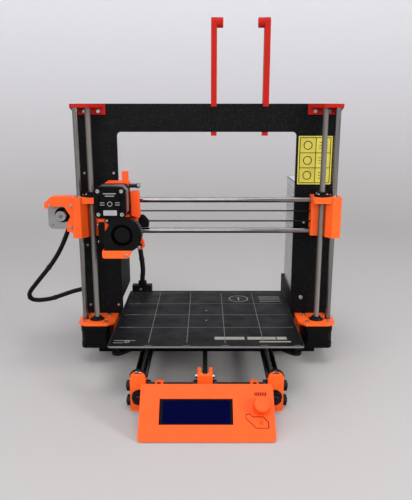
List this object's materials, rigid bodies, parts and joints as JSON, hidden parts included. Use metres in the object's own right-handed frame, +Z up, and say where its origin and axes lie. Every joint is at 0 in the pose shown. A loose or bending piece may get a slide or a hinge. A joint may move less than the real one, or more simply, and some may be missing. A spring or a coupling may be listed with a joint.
{
  "type": "desktop 3d printer",
  "caption": "Desktop filament 3-D printer: upright plate frame, bed sliding front to back, gantry on two leadscrews, side-moving extruder, front display and spool arms.",
  "frame": {"origin": "centre of the machine's bounding box without its cables, on the table", "axes": "+X to the user's right, +Y to the back of the machine, +Z up"},
  "size_m": [0.4769, 0.4214, 0.489],
  "materials": {
    "orange_print": "printed plastic with fine horizontal layer lines, satin",
    "red_print": "printed plastic with fine layer lines, satin",
    "black_print": "printed plastic with fine layer lines, satin",
    "powder_coat": "fine textured powder coat",
    "ground_rod": "ground and polished steel rod",
    "threaded_rod": "black oxide thread",
    "motor_case": "black laminated stepper body, satin",
    "machined_alloy": "turned aluminium",
    "fan_plastic": "moulded plastic, fine spark texture",
    "supply_case": "zinc plated perforated sheet",
    "heater_board": "solder-masked circuit board with pale printed grid",
    "belt_rubber": "toothed rubber belt",
    "braided_sleeve": "braided polyester cable sleeve"
  },
  "bodies": {
    "frame": {"frame_plate": "powder_coat", "y_corner_front_left": "orange_print", "y_corner_front_right": "orange_print", "y_corner_rear_left": "orange_print", "y_corner_rear_right": "orange_print", "y_smooth_rod_left": "ground_rod", "y_smooth_rod_right": "ground_rod", "frame_rod_left": "threaded_rod", "frame_rod_right": "threaded_rod", "y_idler_holder": "orange_print", "y_motor_holder": "orange_print", "y_motor": "motor_case", "y_belt": "belt_rubber", "z_bottom_left": "orange_print", "z_bottom_right": "orange_print", "z_motor_left": "motor_case", "z_motor_right": "motor_case", "z_smooth_rod_left": "ground_rod", "z_smooth_rod_right": "ground_rod", "z_top_left": "red_print", "z_top_right": "red_print", "psu_case": "supply_case", "psu_cover": "black_print", "electronics_box": "black_print", "display_cover": "orange_print", "spool_arm_left": "red_print", "spool_arm_right": "red_print", "x_motor_cable": "braided_sleeve", "bed_cable": "braided_sleeve"},
    "leadscrew_left": {"leadscrew_left": "ground_rod"},
    "leadscrew_right": {"leadscrew_right": "ground_rod"},
    "gantry": {"x_end_left": "orange_print", "x_end_right": "orange_print", "x_motor": "motor_case", "x_smooth_rod_upper": "ground_rod", "x_smooth_rod_lower": "ground_rod", "x_belt": "belt_rubber"},
    "x_motor_pulley": {"x_motor_pulley": "machined_alloy"},
    "x_idler_pulley": {"x_idler_pulley": "machined_alloy"},
    "carriage": {"x_carriage": "black_print", "extruder_motor": "motor_case", "extruder_body": "orange_print", "hotend": "machined_alloy", "hotend_fan": "fan_plastic", "print_fan": "fan_plastic", "fan_nozzle": "orange_print"},
    "drive_gear": {"drive_gear": "ground_rod"},
    "idler_door": {"idler_door": "orange_print"},
    "idler_bearing": {"idler_bearing": "ground_rod"},
    "hotend_fan_rotor": {"hotend_fan_rotor": "fan_plastic"},
    "print_fan_rotor": {"print_fan_rotor": "fan_plastic"},
    "bed": {"y_carriage": "powder_coat", "heated_bed": "heater_board", "bed_cable_clamp": "black_print"},
    "y_idler_pulley": {"y_idler_pulley": "machined_alloy"},
    "y_motor_pulley": {"y_motor_pulley": "machined_alloy"},
    "power_switch": {"power_switch": "fan_plastic"},
    "knob_shaft": {"knob_shaft": "ground_rod"},
    "display_knob": {"display_knob": "orange_print"},
    "reset_button": {"reset_button": "orange_print"}
  },
  "joints": [
    {"name": "z_slide", "type": "slide", "parent": "frame", "child": "gantry", "axis": [0, 0, 1], "range_m": [-0.095, 0.105], "deforming": ["x_motor_cable"]},
    {"name": "x_slide", "type": "slide", "parent": "gantry", "child": "carriage", "axis": [1, 0, 0], "range_m": [-0.003, 0.238], "deforming": ["x_belt"]},
    {"name": "y_slide", "type": "slide", "parent": "frame", "child": "bed", "axis": [0, 1, 0], "range_m": [-0.105, 0.102], "deforming": ["bed_cable", "y_belt"]},
    {"name": "leadscrew_left_spin", "type": "hinge", "parent": "frame", "child": "leadscrew_left", "pos_m": [-0.1415, 0.0157, 0.06], "axis": [0, 0, 1], "range_deg": [-4745, 4295]},
    {"name": "leadscrew_right_spin", "type": "hinge", "parent": "frame", "child": "leadscrew_right", "pos_m": [0.1845, 0.0157, 0.06], "axis": [0, 0, 1], "range_deg": [-4745, 4295]},
    {"name": "x_motor_pulley_spin", "type": "hinge", "parent": "gantry", "child": "x_motor_pulley", "pos_m": [-0.1902, 0.0307, 0.217], "axis": [0, 1, 0], "range_deg": [-1888, 44]},
    {"name": "x_idler_pulley_spin", "type": "hinge", "parent": "gantry", "child": "x_idler_pulley", "pos_m": [0.1915, 0.0307, 0.217], "axis": [0, 1, 0], "range_deg": [-1888, 44]},
    {"name": "y_idler_pulley_spin", "type": "hinge", "parent": "frame", "child": "y_idler_pulley", "pos_m": [0.0193, -0.1269, 0.0415], "axis": [1, 0, 0], "range_deg": [-979, 1007]},
    {"name": "y_motor_pulley_spin", "type": "hinge", "parent": "frame", "child": "y_motor_pulley", "pos_m": [0.0193, 0.1547, 0.0339], "axis": [1, 0, 0], "range_deg": [-447, 460]},
    {"name": "drive_gear_spin", "type": "hinge", "parent": "carriage", "child": "drive_gear", "pos_m": [-0.1063, 0.0067, 0.2471], "axis": [0, 1, 0], "continuous": true},
    {"name": "idler_door_hinge", "type": "hinge", "parent": "carriage", "child": "idler_door", "pos_m": [-0.0806, 0.0077, 0.2215], "axis": [0, 1, 0], "range_deg": [0, 8], "stiffness_Nm_per_rad": 0.4, "springref_deg": -2.86},
    {"name": "idler_bearing_spin", "type": "hinge", "parent": "idler_door", "child": "idler_bearing", "pos_m": [-0.09205, 0.0067, 0.2471], "axis": [0, 1, 0], "continuous": true},
    {"name": "hotend_fan_spin", "type": "hinge", "parent": "carriage", "child": "hotend_fan_rotor", "pos_m": [-0.124, 0.0035, 0.1993], "axis": [1, 0, 0], "continuous": true},
    {"name": "print_fan_spin", "type": "hinge", "parent": "carriage", "child": "print_fan_rotor", "pos_m": [-0.0921, -0.0308, 0.2029], "axis": [0, 1, 0], "continuous": true},
    {"name": "knob_push", "type": "slide", "parent": "frame", "child": "knob_shaft", "axis": [0, -0.6729, 0.7397], "range_m": [-0.001, 0], "stiffness_N_per_m": 1200, "springref_m": 0.0002},
    {"name": "knob_turn", "type": "hinge", "parent": "knob_shaft", "child": "display_knob", "pos_m": [0.0854, -0.18067, 0.02852], "axis": [0, -0.6729, 0.7397], "continuous": true},
    {"name": "reset_push", "type": "slide", "parent": "frame", "child": "reset_button", "axis": [0, -0.6729, 0.7397], "range_m": [-0.0008, 0], "stiffness_N_per_m": 800, "springref_m": 0.0002},
    {"name": "power_switch_rock", "type": "hinge", "parent": "frame", "child": "power_switch", "pos_m": [0.1985, 0.1217, 0.0305], "axis": [0, 0, 1], "range_deg": [0, 16]}
  ],
  "couplings": [
    {"joint": "leadscrew_left_spin", "follows": "z_slide", "rad_per_m": -785.4},
    {"joint": "leadscrew_right_spin", "follows": "z_slide", "rad_per_m": -785.4},
    {"joint": "x_motor_pulley_spin", "follows": "x_slide", "rad_per_m": -136.99},
    {"joint": "x_idler_pulley_spin", "follows": "x_slide", "rad_per_m": -136.99},
    {"joint": "y_idler_pulley_spin", "follows": "y_slide", "rad_per_m": -163.93},
    {"joint": "y_motor_pulley_spin", "follows": "y_slide", "rad_per_m": -72.993},
    {"joint": "idler_bearing_spin", "follows": "drive_gear_spin", "ratio": -0.9231}
  ]
}
